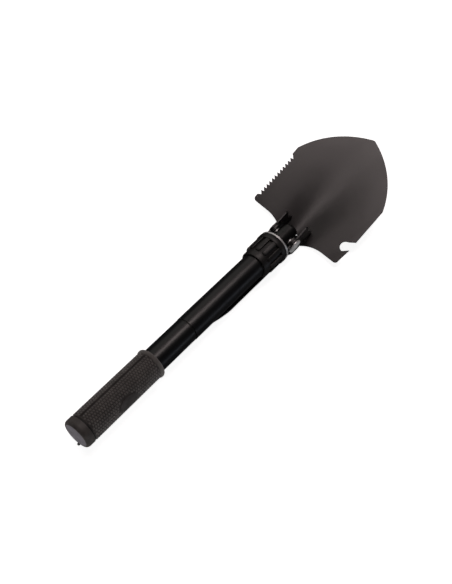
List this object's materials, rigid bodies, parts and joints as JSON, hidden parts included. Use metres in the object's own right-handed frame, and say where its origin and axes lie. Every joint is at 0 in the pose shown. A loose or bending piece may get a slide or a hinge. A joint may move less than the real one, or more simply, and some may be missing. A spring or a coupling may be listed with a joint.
{
  "type": "camp shovel",
  "caption": "Compact folding camp shovel: dished pointed blade with saw edge and bottle-opener notch, folding pick, lock nut, two-piece tube handle and rubber grip.",
  "frame": {"origin": "centre of the flat butt face at the end of the handle, on the handle's axis", "axes": "+X along the handle towards the blade's tip, +Z towards the open, concave front of the blade, +Y towards the saw-toothed edge"},
  "size_m": [0.3991, 0.103, 0.0479],
  "materials": {
    "cap_plastic": "moulded, fine matte",
    "disc_plastic": "smooth matte grey disc",
    "seal_rubber": "black seal ring",
    "grip_rubber": "dark grey moulded grip with small raised pips",
    "black_tube": "satin black coated tube",
    "black_steel": "satin black coated steel",
    "blade_steel": "dark warm grey powder coat",
    "nut_plastic": "black moulded nylon",
    "zinc_steel": "bright zinc plate"
  },
  "bodies": {
    "upper_handle": {"upper_tube": "black_tube", "upper_stud": "zinc_steel", "head_cross_pin": "zinc_steel", "hinge_head": "black_steel", "pivot_pin": "zinc_steel", "retaining_washer": "zinc_steel", "spacer_washers": "zinc_steel"},
    "blade_body": {"blade": "blade_steel", "hinge_ears": "black_steel"},
    "pick_body": {"pick": "black_steel"},
    "washer_body": {"thrust_washer": "zinc_steel"},
    "nut_body": {"nut_shell": "nut_plastic", "nut_insert": "zinc_steel"},
    "seam_body": {"seam_ring": "seal_rubber"},
    "lower_handle": {"lower_tube": "black_tube", "lower_socket": "zinc_steel", "grip_sleeve": "grip_rubber", "grip_pad": "grip_rubber"},
    "cap_seal": {"cap_oring": "seal_rubber"},
    "butt_cap": {"end_cap": "cap_plastic", "cap_disc": "disc_plastic", "lanyard_lug": "cap_plastic"}
  },
  "joints": [
    {"name": "blade_fold", "type": "hinge", "parent": "upper_handle", "child": "blade_body", "pos_m": [0.261, 0, 0], "axis": [0, -1, 0], "range_deg": [0, 161.5]},
    {"name": "pick_fold", "type": "hinge", "parent": "upper_handle", "child": "pick_body", "pos_m": [0.261, 0, 0], "axis": [0, -1, 0], "range_deg": [0, 90]},
    {"name": "washer_slide", "type": "slide", "parent": "upper_handle", "child": "washer_body", "axis": [-1, 0, 0], "range_m": [0, 0.01004]},
    {"name": "nut_turn", "type": "hinge", "parent": "washer_body", "child": "nut_body", "pos_m": [0.234, 0, 0], "axis": [-1, 0, 0], "range_deg": [0, 1445]},
    {"name": "seam_slide", "type": "slide", "parent": "upper_handle", "child": "seam_body", "axis": [-1, 0, 0], "range_m": [0, 0.012]},
    {"name": "handle_turn", "type": "hinge", "parent": "seam_body", "child": "lower_handle", "pos_m": [0.12, 0, 0], "axis": [-1, 0, 0], "range_deg": [0, 2165]},
    {"name": "cap_slide", "type": "slide", "parent": "lower_handle", "child": "cap_seal", "axis": [-1, 0, 0], "range_m": [0, 0.006]},
    {"name": "cap_turn", "type": "hinge", "parent": "cap_seal", "child": "butt_cap", "pos_m": [0.012, 0, 0], "axis": [-1, 0, 0], "range_deg": [0, 1445]}
  ],
  "couplings": [
    {"joint": "washer_slide", "follows": "blade_fold", "m_per_rad": 0.0035477},
    {"joint": "nut_turn", "follows": "blade_fold", "ratio": 8.9164},
    {"joint": "handle_turn", "follows": "seam_slide", "rad_per_m": 3141.6},
    {"joint": "cap_turn", "follows": "cap_slide", "rad_per_m": 4188.8}
  ]
}
